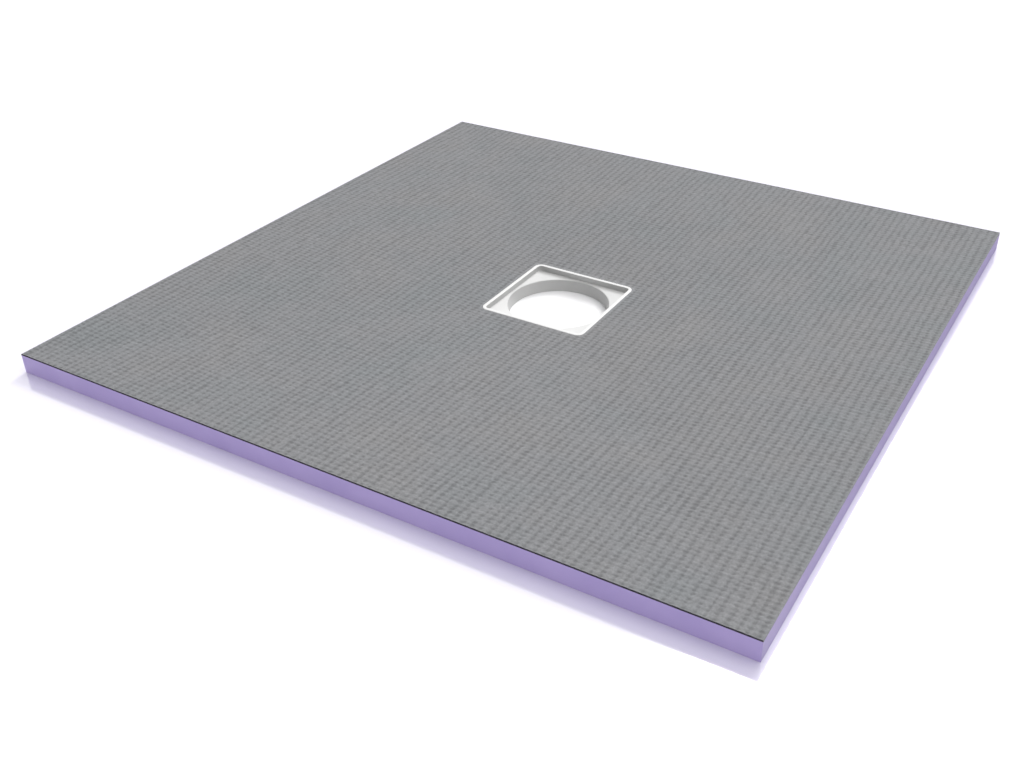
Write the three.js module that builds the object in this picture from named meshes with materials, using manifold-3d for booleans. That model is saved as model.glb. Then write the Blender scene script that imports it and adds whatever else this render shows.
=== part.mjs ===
// Tileable shower tray: a square foam core with a mortar coat that falls on four sides to a drain insert.
// Millimetres, +Z up. The drain's sleeve reaches below the tray and its end is at z = 0.
import * as THREE from 'three';
import Module from 'manifold-3d';

const wasm = await Module();
wasm.setup();

// Tray
const traySide = 900;
const edgeHeight = 25;
const coatThickness = 2;
const fallToDrain = 15.5;

// Drain insert: a square rim, a recess with a ledge for the grate, and a round sleeve
const rimSide = 144.6;
const rimCornerRadius = 10;
const rimWidth = 4.8;
const rimThickness = 2;
const recessDepth = 7.5;
const recessWall = 2;
const recessCornerRadius = 4.5;
const ledgeThickness = 2;
const ledgeMinWidth = 2.9;
const sleeveWall = 2.5;
const sleeveTaper = 2;
const sleeveLength = 14;
const mouthRadius = 1.5;

// Fits
const coatGap = 0.3;
const coreGap = 0.3;
const roundSteps = 96;
const cornerSteps = 8;
const cutMargin = 5;

// Heights
const underside = sleeveLength;
const edgeTop = underside + edgeHeight;
const coreEdgeTop = edgeTop - coatThickness;
const rimTop = edgeTop - fallToDrain;
const coreLandTop = rimTop - rimThickness;
const coatLandBottom = rimTop - coatThickness;
const ledgeTop = rimTop - recessDepth;
const ledgeBottom = ledgeTop - ledgeThickness;

// Plan sizes
const recessSide = rimSide - 2 * rimWidth;
const boxSide = recessSide + 2 * recessWall;
const landSide = rimSide + 2 * coatGap;
const coatOpeningSide = rimSide + 2 * coatGap;
const coreOpeningSide = boxSide + 2 * coreGap;
const mouthInner = recessSide / 2 - ledgeMinWidth;
const sleeveEndInner = mouthInner - sleeveTaper;

function toSolid(geometry) {
  const positions = geometry.attributes.position;
  const inOrder = Array.from({ length: positions.count }, (none, at) => at);
  const triangles = geometry.index ? geometry.index.array : inOrder;
  const mesh = new wasm.Mesh({
    numProp: 3,
    vertProperties: new Float32Array(positions.array),
    triVerts: new Uint32Array(triangles),
  });
  mesh.merge();
  return new wasm.Manifold(mesh);
}

function toGeometry(solid) {
  const mesh = solid.getMesh();
  const geometry = new THREE.BufferGeometry();
  geometry.setAttribute('position', new THREE.BufferAttribute(new Float32Array(mesh.vertProperties), 3));
  geometry.setIndex(new THREE.BufferAttribute(new Uint32Array(mesh.triVerts), 1));
  geometry.computeVertexNormals();
  return geometry;
}

function squareRing(half, z) {
  return [[-half, -half, z], [half, -half, z], [half, half, z], [-half, half, z]];
}

// A square slab whose top and bottom each fall straight from the outer edge to a flat central land
function dishedSlab(side, centreSide, top, bottom) {
  const rings = [
    squareRing(side / 2, top.edge),
    squareRing(centreSide / 2, top.land),
    squareRing(side / 2, bottom.edge),
    squareRing(centreSide / 2, bottom.land),
  ];
  const triangles = [];
  const quad = (a, b, c, d) => triangles.push(a, b, c, a, c, d);
  for (let i = 0; i < 4; i += 1) {
    const j = (i + 1) % 4;
    quad(i, j, 4 + j, 4 + i);
    quad(8 + j, 8 + i, 12 + i, 12 + j);
    quad(8 + i, 8 + j, j, i);
  }
  quad(4, 5, 6, 7);
  quad(15, 14, 13, 12);
  const geometry = new THREE.BufferGeometry();
  geometry.setAttribute('position', new THREE.Float32BufferAttribute(rings.flat(2), 3));
  geometry.setIndex(triangles);
  return toSolid(geometry);
}

function roundedSquare(side, radius) {
  const half = side / 2;
  const inner = half - radius;
  const shape = new THREE.Shape();
  shape.moveTo(-inner, -half);
  shape.lineTo(inner, -half);
  shape.absarc(inner, -inner, radius, -Math.PI / 2, 0, false);
  shape.lineTo(half, inner);
  shape.absarc(inner, inner, radius, 0, Math.PI / 2, false);
  shape.lineTo(-inner, half);
  shape.absarc(-inner, inner, radius, Math.PI / 2, Math.PI, false);
  shape.lineTo(-half, -inner);
  shape.absarc(-inner, -inner, radius, Math.PI, Math.PI * 1.5, false);
  return shape;
}

function squarePrism(side, radius, zBottom, zTop) {
  const geometry = new THREE.ExtrudeGeometry(roundedSquare(side, radius), {
    depth: zTop - zBottom,
    bevelEnabled: false,
    curveSegments: cornerSteps,
  });
  geometry.translate(0, 0, zBottom);
  return toSolid(geometry);
}

// A solid of revolution about Z from a profile of radius and height pairs
function turned(profile) {
  const points = profile.map(([radius, z]) => new THREE.Vector2(radius, z));
  const geometry = new THREE.LatheGeometry(points, roundSteps);
  geometry.rotateX(Math.PI / 2);
  const solid = toSolid(geometry);
  return solid.volume() < 0 ? toSolid(flipped(geometry)) : solid;
}

function flipped(geometry) {
  const turnedOver = geometry.clone();
  const index = turnedOver.index.array;
  for (let i = 0; i < index.length; i += 3) {
    [index[i], index[i + 1]] = [index[i + 1], index[i]];
  }
  return turnedOver;
}

function foamCore() {
  const slab = dishedSlab(
    traySide,
    landSide,
    { edge: coreEdgeTop, land: coreLandTop },
    { edge: underside, land: underside },
  );
  const radius = recessCornerRadius + recessWall + coreGap;
  return slab.subtract(squarePrism(coreOpeningSide, radius, underside - cutMargin, edgeTop));
}

function mortarCoat() {
  const slab = dishedSlab(
    traySide,
    landSide,
    { edge: edgeTop, land: rimTop },
    { edge: coreEdgeTop, land: coatLandBottom },
  );
  const radius = rimCornerRadius + coatGap;
  return slab.subtract(squarePrism(coatOpeningSide, radius, underside, edgeTop));
}

// The opening through ledge and sleeve, with a rounded mouth
function throat() {
  const profile = [[0, -cutMargin], [sleeveEndInner, -cutMargin], [sleeveEndInner, 0]];
  const steps = 5;
  for (let i = 0; i <= steps; i += 1) {
    const angle = (Math.PI / 2) * (i / steps);
    const radius = mouthInner + mouthRadius * (1 - Math.cos(angle));
    profile.push([radius, ledgeTop - mouthRadius * (1 - Math.sin(angle))]);
  }
  const outermost = profile[profile.length - 1][0];
  profile.push([outermost, ledgeTop + cutMargin], [0, ledgeTop + cutMargin]);
  return turned(profile);
}

function sleeve() {
  return turned([
    [0, 0],
    [sleeveEndInner + sleeveWall, 0],
    [mouthInner + sleeveWall, ledgeBottom],
    [mouthInner + sleeveWall, ledgeTop],
    [0, ledgeTop],
  ]);
}

function drainFrame() {
  const boxRadius = recessCornerRadius + recessWall;
  const rim = squarePrism(rimSide, rimCornerRadius, rimTop - rimThickness, rimTop);
  const box = squarePrism(boxSide, boxRadius, ledgeBottom, rimTop);
  const recess = squarePrism(recessSide, recessCornerRadius, ledgeTop, rimTop + cutMargin);
  return rim.add(box).add(sleeve()).subtract(recess).subtract(throat());
}

function node(name, solid, look) {
  const material = new THREE.MeshStandardMaterial({ ...look, flatShading: true });
  const mesh = new THREE.Mesh(toGeometry(solid), material);
  mesh.name = name;
  return mesh;
}

const tray = new THREE.Group();
tray.name = 'shower_tray';
tray.add(node('foam_core', foamCore(), { color: 0x9c90c4, roughness: 0.75, metalness: 0 }));
tray.add(node('mortar_coat', mortarCoat(), { color: 0x8f9193, roughness: 0.92, metalness: 0 }));
tray.add(node('drain_frame', drainFrame(), { color: 0xf2f2f0, roughness: 0.35, metalness: 0 }));

export default tray;
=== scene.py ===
import math

import bmesh
import bpy
import numpy as np
from mathutils import Matrix, Vector


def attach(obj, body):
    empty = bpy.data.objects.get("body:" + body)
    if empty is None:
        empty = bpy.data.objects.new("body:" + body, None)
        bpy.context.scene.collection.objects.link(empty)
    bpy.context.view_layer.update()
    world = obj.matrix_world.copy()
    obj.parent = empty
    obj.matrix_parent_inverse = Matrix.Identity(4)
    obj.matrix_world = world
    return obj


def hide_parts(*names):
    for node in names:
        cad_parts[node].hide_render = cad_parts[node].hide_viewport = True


# Tileable shower tray: violet foam core, woven mortar coat falling to the middle, white drain insert.
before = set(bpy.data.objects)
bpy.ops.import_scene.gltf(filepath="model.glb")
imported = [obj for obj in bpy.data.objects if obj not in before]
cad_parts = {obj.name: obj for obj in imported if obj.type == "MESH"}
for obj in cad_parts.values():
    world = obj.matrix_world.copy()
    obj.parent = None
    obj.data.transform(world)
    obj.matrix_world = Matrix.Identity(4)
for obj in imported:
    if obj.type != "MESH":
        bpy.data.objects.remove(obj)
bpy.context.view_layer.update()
mm = 0.001
hair = 1e-7  # metres, for comparing places: less than any real distance between two points


def toLinear(hexColour):
    parts = [int(hexColour[i:i + 2], 16) / 255 for i in (1, 3, 5)]
    return [c / 12.92 if c <= 0.04045 else ((c + 0.055) / 1.055) ** 2.4 for c in parts] + [1.0]


def addNode(tree, kind, settings=None, sockets=None):
    node = tree.nodes.new(kind)
    for name, value in (settings or {}).items():
        setattr(node, name, value)
    for name, value in (sockets or {}).items():
        if isinstance(value, bpy.types.NodeSocket):
            tree.links.new(value, node.inputs[name])
        else:
            node.inputs[name].default_value = value
    return node


def newMaterial(name):
    material = bpy.data.materials.new(name)
    material.use_nodes = True
    tree = material.node_tree
    tree.nodes.clear()
    return material, tree


def rampPoints(node, points):
    ramp = node.color_ramp
    while len(ramp.elements) < len(points):
        ramp.elements.new(0.5)
    for element, (place, colour) in zip(ramp.elements, points):
        element.position = place
        element.color = colour


def newPiece(name, mesh, materials):
    piece = bpy.data.objects.new(name, mesh)
    bpy.context.scene.collection.objects.link(piece)
    for material in materials:
        mesh.materials.append(material)
    return piece


def smoothMesh(mesh, sharpDegrees):
    mesh.polygons.foreach_set("use_smooth", np.ones(len(mesh.polygons), bool))
    mesh.set_sharp_from_angle(angle=math.radians(sharpDegrees))
    mesh.update()


# Sizes that the pieces share, in metres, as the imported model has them
tray = {
    "side": 0.9,
    "underside": 0.014,
    "edgeHeight": 0.025,
    "coat": 0.002,
    "fall": 0.0155,
    "landHalf": 0.0726,
}
trayHalf = tray["side"] / 2
trayTop = tray["underside"] + tray["edgeHeight"]
landTop = trayTop - tray["fall"]


def squareReach(x, y):
    # How far a place is from the tray's middle, counted square by square
    return np.maximum(np.abs(x), np.abs(y))


def fallHeight(x, y):
    # The top of the coat before its relief: four falls that meet in diagonals, and a flat land in the middle
    reach = np.maximum(squareReach(x, y), tray["landHalf"])
    return trayTop - tray["fall"] * (trayHalf - reach) / (trayHalf - tray["landHalf"])


# Mortar coat
coat = {
    "openingRadius": 0.0103,
    "gridStep": 0.00146,
    "arris": 0.0006,  # width of the worn strip along the outer edges
    "arrisDrop": 0.00035,
    "columns": 93,  # mesh threads over the tray, along X and along Y
    "rows": 145,
    "depth": 0.00055,
    "deepest": 0.0015,
    "wander": 0.95,  # how far a thread strays, in thread pitches
    "seed": 7.0,
    # how narrow the valleys between columns and between rows are, and the share of the depth that each takes
    "column": {"axis": "x", "pitch": "Column pitch", "sharpness": 3.4, "share": 0.85},
    "row": {"axis": "y", "pitch": "Row pitch", "sharpness": 2.1, "share": 0.64},
    "jitterShare": 0.6,
    "knotShare": 1.7,
    "fading": (1.9, -0.35),  # factor and start of how a valley comes and goes
    "swelling": (1.1, 0.45),
    # a lane for each noise of the weave, then one swing's length along X and Y in millimetres:
    # a long one makes a streak along that axis
    "noises": {
        "columnDrift": (11, 18, 90),
        "columnJitter": (14, 9, 7.7),
        "columnFading": (31, 12.8, 25),
        "rowDrift": (23, 90, 12.5),
        "rowJitter": (26, 9, 7.7),
        "rowFading": (37, 16.7, 8.3),
        "swelling": (53, 71, 71),
        "knots": (41, 7.7, 5.9),
        "cells": (61, 10, 6.2),
        "crumbs": (67, 3.6, 2.6),
    },
    "rimRelief": 0.15,  # share of the relief that is left at the drain's rim and at the outer edges
    "rimFade": 0.004,
    "edgeRelief": 0.55,
    "edgeFade": 0.0015,
    "patchSize": 0.11,
    "gritSize": 0.0024,
    "threadSize": 0.0038,
}


def cementMortar():
    # Grey cement mortar pressed through a glass mesh: matt, nearly even, with painted shade that darkens it
    # in the valleys and lightens it on the crests
    material, tree = newMaterial("cementMortar")
    coords = addNode(tree, "ShaderNodeTexCoord").outputs["Object"]
    patches = addNode(tree, "ShaderNodeTexNoise", sockets={
        "Vector": coords, "Scale": 1 / coat["patchSize"], "Detail": 3, "Roughness": 0.55})
    patchRamp = addNode(tree, "ShaderNodeValToRGB", sockets={"Fac": patches.outputs["Fac"]})
    rampPoints(patchRamp, [
        (0.3, toLinear("#818486")), (0.5, toLinear("#848587")), (0.7, toLinear("#868687"))])
    # real grit is about 0.5 mm, too fine to show, so it is drawn five times as coarse
    grit = addNode(tree, "ShaderNodeTexNoise", sockets={
        "Vector": coords, "Scale": 1 / coat["gritSize"], "Detail": 2, "Roughness": 0.6})
    gritTone = addNode(tree, "ShaderNodeMapRange", sockets={
        "Value": grit.outputs["Fac"], "From Min": 0.3, "From Max": 0.7, "To Min": 0.86, "To Max": 1.14})
    valley = addNode(tree, "ShaderNodeAttribute", {"attribute_name": "valley"})
    # painted shade: the deeper the valley, the darker the colour
    valleyShade = addNode(tree, "ShaderNodeMapRange", sockets={
        "Value": valley.outputs["Fac"], "From Min": 0.55, "From Max": 2.0, "To Min": 1.14, "To Max": 0.7})
    tone = addNode(tree, "ShaderNodeMath", {"operation": "MULTIPLY"}, {
        0: gritTone.outputs["Result"], 1: valleyShade.outputs["Result"]})
    colour = addNode(tree, "ShaderNodeVectorMath", {"operation": "SCALE"}, {
        0: patchRamp.outputs["Color"], "Scale": tone.outputs["Value"]})
    bump = addNode(tree, "ShaderNodeBump", sockets={
        "Strength": 0.5, "Distance": 0.3 * mm, "Height": grit.outputs["Fac"]})
    shader = addNode(tree, "ShaderNodeBsdfPrincipled", sockets={
        "Base Color": colour.outputs["Vector"], "Roughness": 0.8, "Specular IOR Level": 0.35,
        "Normal": bump.outputs["Normal"]})
    addNode(tree, "ShaderNodeOutputMaterial", sockets={"Surface": shader.outputs["BSDF"]})
    return material


def shadedEdgeMortar():
    # The coat's edge on the two sides that face along Y: dark mortar with cut mesh threads in it, the dark
    # being painted shade of those sides
    material, tree = newMaterial("shadedEdgeMortar")
    coords = addNode(tree, "ShaderNodeTexCoord").outputs["Object"]
    threads = addNode(tree, "ShaderNodeTexNoise", sockets={
        "Vector": coords, "Scale": 1 / coat["threadSize"], "Detail": 2})
    ramp = addNode(tree, "ShaderNodeValToRGB", sockets={"Fac": threads.outputs["Fac"]})
    rampPoints(ramp, [(0.35, toLinear("#29282d")), (0.65, toLinear("#3b3840"))])
    shader = addNode(tree, "ShaderNodeBsdfPrincipled", sockets={
        "Base Color": ramp.outputs["Color"], "Roughness": 0.95, "Specular IOR Level": 0.2})
    addNode(tree, "ShaderNodeOutputMaterial", sockets={"Surface": shader.outputs["BSDF"]})
    return material


def valleySteps():
    # The relief as rows of sums: the result's name, the operation, and the names or numbers that go in
    steps = []
    for thread in ("column", "row"):
        shape = coat[thread]
        steps += [
            (thread + "Stray", "SUBTRACT", thread + "Drift", 0.5),
            (thread + "Shake", "SUBTRACT", thread + "Jitter", 0.5),
            (thread + "Shift", "MULTIPLY_ADD", thread + "Shake", coat["jitterShare"], thread + "Stray"),
            (thread + "Count", "DIVIDE", shape["axis"], shape["pitch"]),
            (thread + "Turn", "MULTIPLY_ADD", thread + "Shift", "Wander", thread + "Count"),
            (thread + "Angle", "MULTIPLY", thread + "Turn", 2 * math.pi),
            (thread + "Cosine", "COSINE", thread + "Angle"),
            (thread + "Swing", "MULTIPLY_ADD", thread + "Cosine", 0.5, 0.5),
            (thread + "Gap", "POWER", thread + "Swing", shape["sharpness"]),
            (thread + "Weight", "MULTIPLY_ADD", thread + "Fading", *coat["fading"]),
            (thread + "Drop", "MULTIPLY", thread + "Gap", thread + "Weight"),
            (thread + "Valley", "MULTIPLY", thread + "Drop", shape["share"]),
        ]
    return steps + [
        ("lines", "ADD", "columnValley", "rowValley"),
        ("crossing", "MULTIPLY", "columnGap", "rowGap"),
        ("knotSize", "MULTIPLY", "knots", coat["knotShare"]),
        ("weave", "MULTIPLY_ADD", "crossing", "knotSize", "lines"),
        ("swell", "MULTIPLY_ADD", "swelling", *coat["swelling"]),
        ("swollenWeave", "MULTIPLY", "weave", "swell"),
        ("lumps", "ADD", "cells", "crumbs"),
        ("fullValley", "ADD", "swollenWeave", "lumps"),
        ("valley", "MULTIPLY", "fullValley", "pressed"),
        ("fullDepth", "MULTIPLY", "valley", "Depth"),
        ("limitedDepth", "MINIMUM", "fullDepth", "Deepest"),
        ("drop", "MULTIPLY", "limitedDepth", -1.0),
    ]


def weaveTree():
    # Presses valleys between the mesh's columns and rows into the coat's top, straight down only
    tree = bpy.data.node_groups.new("wovenRelief", "GeometryNodeTree")
    face = tree.interface
    face.new_socket(name="Geometry", in_out="INPUT", socket_type="NodeSocketGeometry")
    sizes = ("Column pitch", "Row pitch", "Depth", "Deepest", "Wander", "Seed")
    for name in sizes:
        face.new_socket(name=name, in_out="INPUT", socket_type="NodeSocketFloat")
    face.new_socket(name="Finish", in_out="INPUT", socket_type="NodeSocketMaterial")
    face.new_socket(name="Geometry", in_out="OUTPUT", socket_type="NodeSocketGeometry")
    given = addNode(tree, "NodeGroupInput").outputs
    position = addNode(tree, "GeometryNodeInputPosition").outputs[0]
    place = addNode(tree, "ShaderNodeSeparateXYZ", sockets={0: position}).outputs
    pressed = addNode(tree, "GeometryNodeInputNamedAttribute", {"data_type": "FLOAT"}, {"Name": "pressed"})

    # what a step may name: an input, a noise, or an earlier step
    known = {name: given[name] for name in sizes}
    known.update({"x": place["X"], "y": place["Y"], "pressed": pressed.outputs[0]})
    for name, (lane, lengthX, lengthY) in coat["noises"].items():
        stretch = (1 / (lengthX * mm), 1 / (lengthY * mm), 0)
        flat = addNode(tree, "ShaderNodeVectorMath", {"operation": "MULTIPLY"}, {0: position, 1: stretch})
        ownLane = addNode(tree, "ShaderNodeMath", {"operation": "ADD"}, {0: given["Seed"], 1: lane})
        swings = addNode(tree, "ShaderNodeTexNoise", {"noise_dimensions": "4D"}, {
            "Vector": flat.outputs[0], "W": ownLane.outputs[0], "Scale": 1, "Detail": 2, "Roughness": 0.5})
        known[name] = swings.outputs[0]
    for name, operation, *parts in valleySteps():
        sockets = {i: known.get(part, part) for i, part in enumerate(parts)}
        known[name] = addNode(tree, "ShaderNodeMath", {"operation": operation}, sockets).outputs[0]

    offset = addNode(tree, "ShaderNodeCombineXYZ", sockets={"Z": known["drop"]})
    marked = addNode(tree, "GeometryNodeStoreNamedAttribute", {"data_type": "FLOAT", "domain": "POINT"}, {
        "Geometry": given["Geometry"], "Name": "valley", "Value": known["valley"]})
    moved = addNode(tree, "GeometryNodeSetPosition", sockets={
        "Geometry": marked.outputs[0], "Offset": offset.outputs[0]})
    real = addNode(tree, "GeometryNodeRealizeInstances", sockets={"Geometry": moved.outputs[0]})
    finished = addNode(tree, "GeometryNodeSetMaterial", sockets={
        "Geometry": real.outputs[0], "Material": given["Finish"]})
    addNode(tree, "NodeGroupOutput", sockets={"Geometry": finished.outputs[0]})
    return tree


def coatLines():
    # The grid's lines, the same along X and Y: one follows each outer arris and each edge of the land
    land = tray["landHalf"]
    outerSteps = round((trayHalf - land) / coat["gridStep"])
    landSteps = round(land / coat["gridStep"])
    outer = np.linspace(-trayHalf, -land, outerSteps + 1)
    outer = np.insert(outer, 1, -trayHalf + coat["arris"])
    inner = np.linspace(-land, 0, landSteps + 1)[1:]
    left = np.concatenate([outer, inner])
    return np.concatenate([left, -left[-2::-1]])


def openingDistance(x, y):
    # Below zero inside the rounded square opening, above zero on the coat
    radius = coat["openingRadius"]
    straight = tray["landHalf"] - radius
    dx, dy = np.abs(x) - straight, np.abs(y) - straight
    return np.hypot(np.maximum(dx, 0), np.maximum(dy, 0)) + np.minimum(np.maximum(dx, dy), 0) - radius


def slideToOpening(x, y, kept):
    # Points between kept and dropped squares slide on to the opening's rounded corners
    count = len(x)
    touches = np.zeros((2, count, count), int)
    for di in (0, 1):
        for dj in (0, 1):
            touches[0, di:count - 1 + di, dj:count - 1 + dj] += kept
            touches[1, di:count - 1 + di, dj:count - 1 + dj] += ~kept
    straight = tray["landHalf"] - coat["openingRadius"]
    corner = (touches[0] > 0) & (touches[1] > 0) & (np.abs(x) > straight) & (np.abs(y) > straight)
    fromX, fromY = np.abs(x[corner]) - straight, np.abs(y[corner]) - straight
    reach = coat["openingRadius"] / np.hypot(fromX, fromY)
    x[corner] = np.sign(x[corner]) * (straight + fromX * reach)
    y[corner] = np.sign(y[corner]) * (straight + fromY * reach)


def squaresOf(index):
    return np.stack([index[:-1, :-1], index[1:, :-1], index[1:, 1:], index[:-1, 1:]], -1)


def flatGrid(finish):
    # The coat's top before its relief, with the share of the relief that each point takes
    lines = coatLines()
    x, y = np.meshgrid(lines, lines, indexing="ij")
    middleX, middleY = (x[:-1, :-1] + x[1:, 1:]) / 2, (y[:-1, :-1] + y[1:, 1:]) / 2
    kept = openingDistance(middleX, middleY) > 0
    slideToOpening(x, y, kept)
    z = fallHeight(x, y)
    z[squareReach(x, y) > trayHalf - hair] -= coat["arrisDrop"]
    fromRim = np.clip(openingDistance(x, y) / coat["rimFade"], 0, 1)
    fromEdge = np.clip((trayHalf - squareReach(x, y)) / coat["edgeFade"], 0, 1)
    rimRelief, edgeRelief = coat["rimRelief"], coat["edgeRelief"]
    share = (rimRelief + (1 - rimRelief) * fromRim) * (edgeRelief + (1 - edgeRelief) * fromEdge)

    mesh = bpy.data.meshes.new("coatGrid")
    quads = squaresOf(np.arange(x.size).reshape(x.shape))[kept]
    mesh.vertices.add(x.size)
    mesh.vertices.foreach_set("co", np.stack([x, y, z], -1).ravel())
    mesh.loops.add(quads.size)
    mesh.loops.foreach_set("vertex_index", quads.ravel())
    mesh.polygons.add(len(quads))
    mesh.polygons.foreach_set("loop_start", np.arange(0, quads.size, 4))
    mesh.update(calc_edges=True)
    mesh.attributes.new("pressed", "FLOAT", "POINT").data.foreach_set("value", share.ravel())
    return newPiece("coatGrid", mesh, [finish]), kept


def gridNormals(places, kept):
    # One normal for each grid point, from every square round it, so the four quarters shade as one
    a, b = places[:-1, :-1], places[1:, :-1]
    c, d = places[1:, 1:], places[:-1, 1:]
    across = np.cross(c - a, d - b) * kept[..., None]
    total = np.zeros_like(places)
    for di in (0, 1):
        for dj in (0, 1):
            total[di:di + across.shape[0], dj:dj + across.shape[1]] += across
    length = np.linalg.norm(total, axis=-1, keepdims=True)
    return np.where(length > 0, total / np.where(length > 0, length, 1), (0, 0, 1))


def pressedGrid(finish):
    grid, kept = flatGrid(finish)
    relief = grid.modifiers.new("relief", "NODES")
    relief.node_group = weaveTree()
    values = {
        "Column pitch": tray["side"] / coat["columns"], "Row pitch": tray["side"] / coat["rows"],
        "Depth": coat["depth"], "Deepest": coat["deepest"],
        "Wander": coat["wander"], "Seed": coat["seed"], "Finish": finish,
    }
    for item in relief.node_group.interface.items_tree:
        if item.in_out == "INPUT" and item.name in values:
            relief[item.identifier] = values[item.name]
    graph = bpy.context.evaluated_depsgraph_get()
    pressed = bpy.data.meshes.new_from_object(grid.evaluated_get(graph))
    places = np.empty(len(pressed.vertices) * 3)
    pressed.vertices.foreach_get("co", places)
    depths = np.empty(len(pressed.vertices))
    pressed.attributes["valley"].data.foreach_get("value", depths)
    bpy.data.objects.remove(grid)
    count = len(kept) + 1
    places = places.reshape(count, count, 3)
    return {"places": places, "depths": depths.reshape(count, count), "kept": kept,
            "normals": gridNormals(places, kept)}


def borderOf(quads, pointCount):
    # The points round a patch of squares, in order: an edge with a square on both sides drops out
    edges = np.concatenate([quads[:, [k, (k + 1) % 4]] for k in range(4)])
    forward = edges[:, 0] * pointCount + edges[:, 1]
    backward = edges[:, 1] * pointCount + edges[:, 0]
    border = edges[~np.isin(forward, backward)]
    following = dict(border.tolist())
    start = int(border[0, 0])
    loop = [start]
    while following[loop[-1]] != start:
        loop.append(following[loop[-1]])
    return loop


def undersideFaces(low, farCorner):
    # Three flat faces, as places in the ring of low points: one under each fall, which meet at the diagonal,
    # and one on the land under the drain's rim. The land's corner is the place after the ring's end
    count = len(low)
    order = [(farCorner + k) % count for k in range(count)]
    onLand = np.flatnonzero(squareReach(low[order, 0], low[order, 1]) < tray["landHalf"] - hair)
    first, last = onLand[0], onLand[-1]
    upward = [
        order[:first] + [count],
        [count] + order[last + 1:] + [farCorner],
        order[first - 1:last + 2] + [count],
    ]
    return [face[::-1] for face in upward]


def setTopNormals(mesh, topFaces, topNormals):
    # The relief's faces take the grid's normals, the walls and the underside keep their flat ones
    loopPoints = np.empty(len(mesh.loops), int)
    mesh.loops.foreach_get("vertex_index", loopPoints)
    flatNormals = np.array([face.normal[:] for face in mesh.polygons])
    loopNormals = np.repeat(flatNormals, [face.loop_total for face in mesh.polygons], axis=0)
    onTop = np.arange(len(loopPoints)) < topFaces * 4
    loopNormals[onTop] = topNormals[loopPoints[onTop]]
    mesh.normals_split_custom_set(loopNormals.tolist())


def coatQuarter(name, grid, spanX, spanY, finishes):
    # The top squares of one quarter, walls round them, and a flat underside for each fall
    part = slice(spanX[0], spanX[1] + 1), slice(spanY[0], spanY[1] + 1)
    points = grid["places"][part].reshape(-1, 3)
    index = np.arange(len(points)).reshape(grid["depths"][part].shape)
    quads = squaresOf(index)[grid["kept"][slice(*spanX), slice(*spanY)]]
    loop = borderOf(quads, len(points))
    used = np.unique(quads)
    lookup = np.full(len(points), -1)
    lookup[used] = np.arange(len(used))
    squares, ring = lookup[quads], lookup[loop].tolist()

    top, low = points[used], points[loop]
    low[:, 2] = fallHeight(low[:, 0], low[:, 1]) - tray["coat"]
    farCorner = int(np.argmax(np.abs(low[:, :2]).sum(axis=1)))
    landCorner = np.append(np.sign(low[farCorner, :2]) * tray["landHalf"], landTop - tray["coat"])
    verts = np.concatenate([top, low, [landCorner]])
    count, below = len(loop), len(top)
    walls = []
    for i in range(count):
        j = (i + 1) % count
        walls.append([ring[j], ring[i], below + i, below + j])
    under = [[below + i for i in face] for face in undersideFaces(low, farCorner)]
    faces = squares.tolist() + walls + under
    mesh = bpy.data.meshes.new(name)
    mesh.from_pydata(verts.tolist(), [], faces)
    mesh.update()
    piece = newPiece(name, mesh, finishes)

    # the two sides that face along Y take the dark edge mortar as painted shade, and so does the strip of
    # squares beside them
    atShadedSide = np.abs(np.abs(verts[:, 1]) - trayHalf) < hair
    shadedSide = np.concatenate([
        atShadedSide[squares].any(axis=1), atShadedSide[np.array(walls)].all(axis=1), np.zeros(len(under), bool)])
    mesh.polygons.foreach_set("material_index", shadedSide.astype(int))
    mesh.polygons.foreach_set("use_smooth", np.arange(len(faces)) < len(quads))
    marks = np.zeros(len(verts))
    marks[:below] = grid["depths"][part].ravel()[used]
    mesh.attributes.new("valley", "FLOAT", "POINT").data.foreach_set("value", marks)
    setTopNormals(mesh, len(quads), grid["normals"][part].reshape(-1, 3)[used])
    return piece


def makeCoat():
    finishes = [cementMortar(), shadedEdgeMortar()]
    grid = pressedGrid(finishes[0])
    last = len(grid["kept"])
    middle = last // 2
    halves = {"Left": (0, middle), "Right": (middle, last)}
    ends = {"Front": (0, middle), "Back": (middle, last)}
    pieces = [coatQuarter("mortarCoat" + end + half, grid, spanX, spanY, finishes)
              for half, spanX in halves.items() for end, spanY in ends.items()]
    for piece in pieces:
        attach(piece, "root")
        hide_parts("mortar_coat")
    print("mortar coat:", sum(len(piece.data.polygons) for piece in pieces), "faces")


makeCoat()

# Foam core
foam = {
    "openingHalf": 0.0698,
    "openingRadius": 0.0068,
    "arris": 0.0003,
    "pointsPerSide": 180,
    "sharpDegrees": 25,
    "cloudSize": 0.045,
    "sawMarkLength": 0.07,
    "sawMarkPitch": 0.0011,
    "cellSize": 0.0011,
    "cellShare": 0.4,  # height of the cells against that of the saw marks
}


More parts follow.
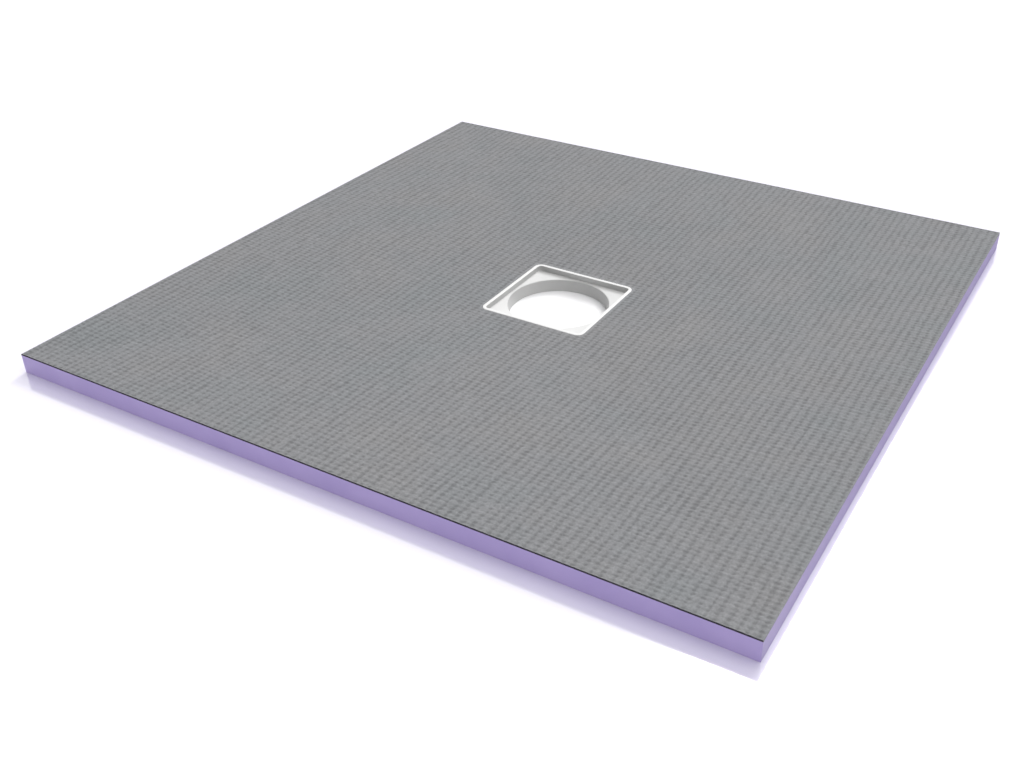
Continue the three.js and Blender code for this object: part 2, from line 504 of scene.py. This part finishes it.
def extrudedFoam():
    # Violet extruded polystyrene with sawn sides: satin, fine closed cells, faint level saw marks
    material, tree = newMaterial("extrudedFoam")
    coords = addNode(tree, "ShaderNodeTexCoord").outputs["Object"]
    clouds = addNode(tree, "ShaderNodeTexNoise", sockets={
        "Vector": coords, "Scale": 1 / foam["cloudSize"], "Detail": 3})
    ramp = addNode(tree, "ShaderNodeValToRGB", sockets={"Fac": clouds.outputs["Fac"]})
    rampPoints(ramp, [(0.3, toLinear("#a192c5")), (0.7, toLinear("#a899ca"))])
    sawScale = (1 / foam["sawMarkLength"], 1 / foam["sawMarkLength"], 1 / foam["sawMarkPitch"])
    level = addNode(tree, "ShaderNodeMapping", sockets={"Vector": coords, "Scale": sawScale})
    saw = addNode(tree, "ShaderNodeTexNoise", sockets={
        "Vector": level.outputs["Vector"], "Scale": 1, "Detail": 2})
    # real cells are about 0.2 mm, too fine to show, so they are drawn five times as coarse
    cells = addNode(tree, "ShaderNodeTexVoronoi", sockets={"Vector": coords, "Scale": 1 / foam["cellSize"]})
    height = addNode(tree, "ShaderNodeMath", {"operation": "MULTIPLY_ADD"}, {
        0: cells.outputs["Distance"], 1: foam["cellShare"], 2: saw.outputs["Fac"]})
    bump = addNode(tree, "ShaderNodeBump", sockets={
        "Strength": 0.25, "Distance": 0.2 * mm, "Height": height.outputs[0]})
    shader = addNode(tree, "ShaderNodeBsdfPrincipled", sockets={
        "Base Color": ramp.outputs["Color"], "Roughness": 0.42, "Specular IOR Level": 0.45,
        "Normal": bump.outputs["Normal"]})
    addNode(tree, "ShaderNodeOutputMaterial", sockets={"Surface": shader.outputs["BSDF"]})
    return material


def squareLoop(half, z, perSide):
    steps = np.linspace(-half, half, perSide + 1)[:-1]
    flat = np.full(perSide, half)
    return np.stack([
        np.concatenate([steps, flat, -steps, -flat]),
        np.concatenate([-flat, steps, flat, -steps]),
        np.full(4 * perSide, z),
    ], 1)


def roundedReach(angle, half, radius):
    # How far a rounded square reaches from its middle, in the direction of an angle
    c, s = np.abs(np.cos(angle)), np.abs(np.sin(angle))
    c, s = np.maximum(c, s), np.minimum(c, s)
    straight = half - radius
    flat = half / c
    root = np.sqrt(np.maximum(straight ** 2 * ((c + s) ** 2 - 2) + radius ** 2, 0))
    return np.where(flat * s <= straight, flat, straight * (c + s) + root)


def loopAt(reach, angles, z):
    return np.stack([reach * np.cos(angles), reach * np.sin(angles), np.full(len(angles), z)], 1)


def loftLoops(name, loops, materials, closed=True):
    count = len(loops[0])
    verts = np.concatenate(loops)
    rings = np.arange(len(verts)).reshape(len(loops), count)
    following = np.roll(rings, -1, axis=1)
    last = len(loops) if closed else len(loops) - 1
    faces = []
    for i in range(last):
        j = (i + 1) % len(loops)
        faces.append(np.stack([rings[i], following[i], following[j], rings[j]], 1))
    mesh = bpy.data.meshes.new(name)
    mesh.from_pydata(verts.tolist(), [], np.concatenate(faces).tolist())
    mesh.update()
    return newPiece(name, mesh, materials)


def makeFoam():
    low, high = tray["underside"], trayTop - tray["coat"]
    land = landTop - tray["coat"]
    arris, perSide = foam["arris"], foam["pointsPerSide"]
    base = squareLoop(trayHalf, low, perSide)
    angles = np.arctan2(base[:, 1], base[:, 0])
    opening = roundedReach(angles, foam["openingHalf"], foam["openingRadius"])
    loops = [
        loopAt(opening, angles, low),
        squareLoop(trayHalf - arris, low, perSide),
        squareLoop(trayHalf, low + arris, perSide),
        squareLoop(trayHalf, (low + high) / 2, perSide),
        squareLoop(trayHalf, high, perSide),
        squareLoop(tray["landHalf"], land, perSide),
        loopAt(opening, angles, land),
    ]
    piece = loftLoops("foamCore", loops, [extrudedFoam()])
    smoothMesh(piece.data, foam["sharpDegrees"])
    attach(piece, "root")
    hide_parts("foam_core")
    print("foam core:", len(piece.data.polygons), "faces")


makeFoam()

# Drain insert
drain = {
    "rimHalf": 0.0723,
    "rimCorner": 0.01,
    "rimWidth": 0.0048,
    "rimThickness": 0.002,
    "recessDepth": 0.0075,
    "recessWall": 0.002,
    "recessCorner": 0.0045,
    "ledgeThickness": 0.002,
    "mouthRadius": 0.0646,
    "mouthRound": 0.0015,
    "sleeveEnd": 0.0626,
    "sleeveWall": 0.0025,
    "edgeRound": 0.0007,
    "footRound": 0.0009,
    "endRound": 0.0004,
    "cornerDegrees": (41, 49),  # the points lie closer between these, where the corners are
    "sidePoints": 48,
    "cornerPoints": 20,
    "roundDegrees": (0, 22.5, 45, 67.5, 90),
    "uprightLimit": 0.4,  # a face with a smaller rise in its normal counts as a wall
    "sharpDegrees": 35,
    "peelSize": 0.0033,
    "tintSize": 0.033,
}


def mouldedPlastic(name, tones, roughness):
    # White moulded ABS: clean, with a mould's faint orange peel
    # the real peel is about 1 mm, too fine to show, so it is drawn three times as coarse
    material, tree = newMaterial(name)
    coords = addNode(tree, "ShaderNodeTexCoord").outputs["Object"]
    peel = addNode(tree, "ShaderNodeTexNoise", sockets={
        "Vector": coords, "Scale": 1 / drain["peelSize"], "Detail": 2})
    bump = addNode(tree, "ShaderNodeBump", sockets={
        "Strength": 0.08, "Distance": 0.2 * mm, "Height": peel.outputs["Fac"]})
    tint = addNode(tree, "ShaderNodeTexNoise", sockets={
        "Vector": coords, "Scale": 1 / drain["tintSize"], "Detail": 2})
    ramp = addNode(tree, "ShaderNodeValToRGB", sockets={"Fac": tint.outputs["Fac"]})
    rampPoints(ramp, [(0.3, toLinear(tones[0])), (0.7, toLinear(tones[1]))])
    shader = addNode(tree, "ShaderNodeBsdfPrincipled", sockets={
        "Base Color": ramp.outputs["Color"], "Roughness": roughness, "IOR": 1.53,
        "Normal": bump.outputs["Normal"]})
    addNode(tree, "ShaderNodeOutputMaterial", sockets={"Surface": shader.outputs["BSDF"]})
    return material


def drainAngles():
    start, end = drain["cornerDegrees"]
    side = np.linspace(-start, start, drain["sidePoints"])
    corner = np.linspace(start, end, drain["cornerPoints"] + 2)[1:-1]
    quarter = np.radians(np.concatenate([side, corner]))
    return np.concatenate([quarter + k * math.pi / 2 for k in range(4)])


def drainLoops(angles):
    # Loops from the sleeve's end up its outside, over the lip, and down the inside to the sleeve's end again
    d, top = drain, landTop
    ledge = top - d["recessDepth"]
    under, rimUnder = ledge - d["ledgeThickness"], top - d["rimThickness"]
    rim, recess = d["rimHalf"], d["rimHalf"] - d["rimWidth"]
    box, boxCorner = recess + d["recessWall"], d["recessCorner"] + d["recessWall"]
    arc = [math.radians(a) for a in d["roundDegrees"]]

    def square(half, corner, z):
        return loopAt(roundedReach(angles, half, corner), angles, z)

    def circle(radius, z):
        return loopAt(np.full(len(angles), radius), angles, z)

    sleeveEnd, endRound = d["sleeveEnd"], d["endRound"]
    outerEnd, outerTop = sleeveEnd + d["sleeveWall"], d["mouthRadius"] + d["sleeveWall"]
    loops = [
        circle(sleeveEnd + endRound, 0),
        circle(outerEnd - endRound, 0),
        circle(outerEnd, endRound),
        circle(outerTop, under),
        square(box, boxCorner, under),
        square(box, boxCorner, rimUnder),
        square(rim, d["rimCorner"], rimUnder),
    ]
    r = d["edgeRound"]
    for a in arc:
        inset = r * (1 - math.cos(a))
        loops.append(square(rim - inset, d["rimCorner"] - inset, top - r + r * math.sin(a)))
    for a in reversed(arc):
        grow = r * (1 - math.cos(a))
        loops.append(square(recess + grow, d["recessCorner"] + grow, top - r + r * math.sin(a)))
    r = d["footRound"]
    for a in arc:
        inset = r * (1 - math.cos(a))
        loops.append(square(recess - inset, d["recessCorner"] - inset, ledge + r - r * math.sin(a)))
    r = d["mouthRound"]
    for a in reversed(arc):
        grow = r * (1 - math.cos(a))
        loops.append(circle(d["mouthRadius"] + grow, ledge - r + r * math.sin(a)))
    return loops + [circle(sleeveEnd, endRound)]


def makeDrain():
    # satin on the lip, matt and a little greyer on the ledge, and greyer still on the walls; the grey of the
    # ledge and the walls is painted shade of the recess
    finishes = [
        mouldedPlastic("satinMouldedPlastic", ("#e4e4e3", "#e8e8e7"), 0.32),
        mouldedPlastic("shadedWallPlastic", ("#c4c4c3", "#c9c9c8"), 0.6),
        mouldedPlastic("mattShadedPlastic", ("#d6d6d5", "#dadad9"), 0.68),
    ]
    satin, shadedWall, mattShaded = range(3)
    piece = loftLoops("drainInsert", drainLoops(drainAngles()), finishes)
    halfDown = landTop - drain["recessDepth"] / 2
    # walls take the greyest plastic and the ledge the grey one: painted shade
    for face in piece.data.polygons:
        isWall = abs(face.normal.z) < drain["uprightLimit"]
        face.material_index = shadedWall if isWall else mattShaded if face.center.z < halfDown else satin
    smoothMesh(piece.data, drain["sharpDegrees"])
    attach(piece, "root")
    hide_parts("drain_frame")
    print("drain insert:", len(piece.data.polygons), "faces")


makeDrain()

# Floor
ground = {
    "reach": 8.0,
    "pocketRadius": 0.073,
    "pocketCentre": 0.001,
    "sides": 96,
}


def polishedBoard():
    # Polished white studio board: mirrors the tray's foot faintly, and the white screen behind it
    material, tree = newMaterial("polishedBoard")
    shader = addNode(tree, "ShaderNodeBsdfPrincipled", sockets={
        "Base Color": toLinear("#f6f4ff"), "Roughness": 0.12, "Metallic": 0.27})
    addNode(tree, "ShaderNodeOutputMaterial", sockets={"Surface": shader.outputs["BSDF"]})
    return material


def mattBoard():
    # The board's sawn pocket under the drain: matt and white
    material, tree = newMaterial("mattBoard")
    shader = addNode(tree, "ShaderNodeBsdfPrincipled", sockets={
        "Base Color": toLinear("#f4f4f5"), "Roughness": 0.7, "Specular IOR Level": 0.15})
    addNode(tree, "ShaderNodeOutputMaterial", sockets={"Surface": shader.outputs["BSDF"]})
    return material


def makeFloor():
    # The floor has a round pocket under the drain, which takes the sleeve below the tray
    count = ground["sides"]
    turns = np.arange(count) / count * 2 * math.pi
    outer = ground["reach"] / np.maximum(np.abs(np.cos(turns)), np.abs(np.sin(turns)))
    pocket, level = ground["pocketRadius"], tray["underside"]
    loops = [
        loopAt(outer, turns, level),
        loopAt(pocket, turns, level),
        loopAt(pocket, turns, 0),
        loopAt(ground["pocketCentre"], turns, 0),
    ]
    floor = loftLoops("floor", loops, [polishedBoard(), mattBoard()], closed=False)
    mesh = bmesh.new()
    mesh.from_mesh(floor.data)
    mesh.verts.ensure_lookup_table()
    mesh.faces.new(mesh.verts[3 * count:])
    bmesh.ops.recalc_face_normals(mesh, faces=mesh.faces)
    for face in mesh.faces:
        face.material_index = int(face.calc_center_median().z < level - hair)
    mesh.to_mesh(floor.data)
    mesh.free()
    print("floor made")


makeFloor()

# Camera and light
view = {
    "eye": (0.63710, -1.11177, 0.70978),
    "right": (0.86626914, 0.49957679, 0.0008979),
    "down": (0.26443232, -0.45700084, -0.84925013),
    "forward": (-0.42385531, 0.73591661, -0.52798998),
    "lens": 40.03,
    "sensor": 36,
    "shift": (-0.0429, -0.0124),
    "near": 0.01,
}

# Wide suns: where each comes from, how many degrees wide it is, and how strong
lights = {
    "back": {"from": (-0.09, 0.74, 0.70), "width": 20, "strength": 1.4},
    "top": {"from": (0.32, 0.16, 1.0), "width": 68, "strength": 2.02},
    "lowFront": {"from": (-0.15, -1.0, 0.012), "width": 1.2, "strength": 1.32},
}

# The studio's brightness: dim all round, with one white screen behind the tray for the floor to mirror.
# The screen is full up to screenHalf degrees from its middle and gone at screenFade
studio = {
    "tint": (0.97, 0.965, 0.98, 1),
    "dim": 0.16,
    "white": 1.06,
    "screenAt": (-0.46, 0.715, 0.528),
    "screenHalf": 32,
    "screenFade": 40,
}


def makeCamera():
    data = bpy.data.cameras.new("camera")
    data.lens = view["lens"]
    data.sensor_width = view["sensor"]
    data.shift_x, data.shift_y = view["shift"]
    data.clip_start = view["near"]
    camera = bpy.data.objects.new("camera", data)
    right, down, forward = (Vector(view[k]).normalized() for k in ("right", "down", "forward"))
    turned = Matrix((right, -down, -forward)).transposed().to_4x4()
    camera.matrix_world = Matrix.Translation(view["eye"]) @ turned
    bpy.context.scene.collection.objects.link(camera)
    bpy.context.scene.camera = camera


def makeLights():
    for name, light in lights.items():
        data = bpy.data.lights.new(name, "SUN")
        data.angle = math.radians(light["width"])
        data.energy = light["strength"]
        lamp = bpy.data.objects.new(name, data)
        lamp.rotation_euler = (-Vector(light["from"])).to_track_quat("-Z", "Y").to_euler()
        bpy.context.scene.collection.objects.link(lamp)


def makeStudio():
    world = bpy.data.worlds.new("studio")
    world.use_nodes = True
    tree = world.node_tree
    tree.nodes.clear()
    way = addNode(tree, "ShaderNodeTexCoord").outputs["Generated"]
    facing = addNode(tree, "ShaderNodeVectorMath", {"operation": "DOT_PRODUCT"}, {
        0: way, 1: Vector(studio["screenAt"]).normalized()})
    level = addNode(tree, "ShaderNodeMapRange", {"interpolation_type": "SMOOTHSTEP"}, {
        "Value": facing.outputs["Value"],
        "From Min": math.cos(math.radians(studio["screenFade"])),
        "From Max": math.cos(math.radians(studio["screenHalf"])),
        "To Min": studio["dim"], "To Max": studio["white"]})
    glow = addNode(tree, "ShaderNodeBackground", sockets={
        "Color": studio["tint"], "Strength": level.outputs["Result"]})
    addNode(tree, "ShaderNodeOutputWorld", sockets={"Surface": glow.outputs[0]})
    bpy.context.scene.world = world
    bpy.context.scene.view_settings.view_transform = "Standard"


makeCamera()
makeLights()
makeStudio()
print("camera, lights and studio made")
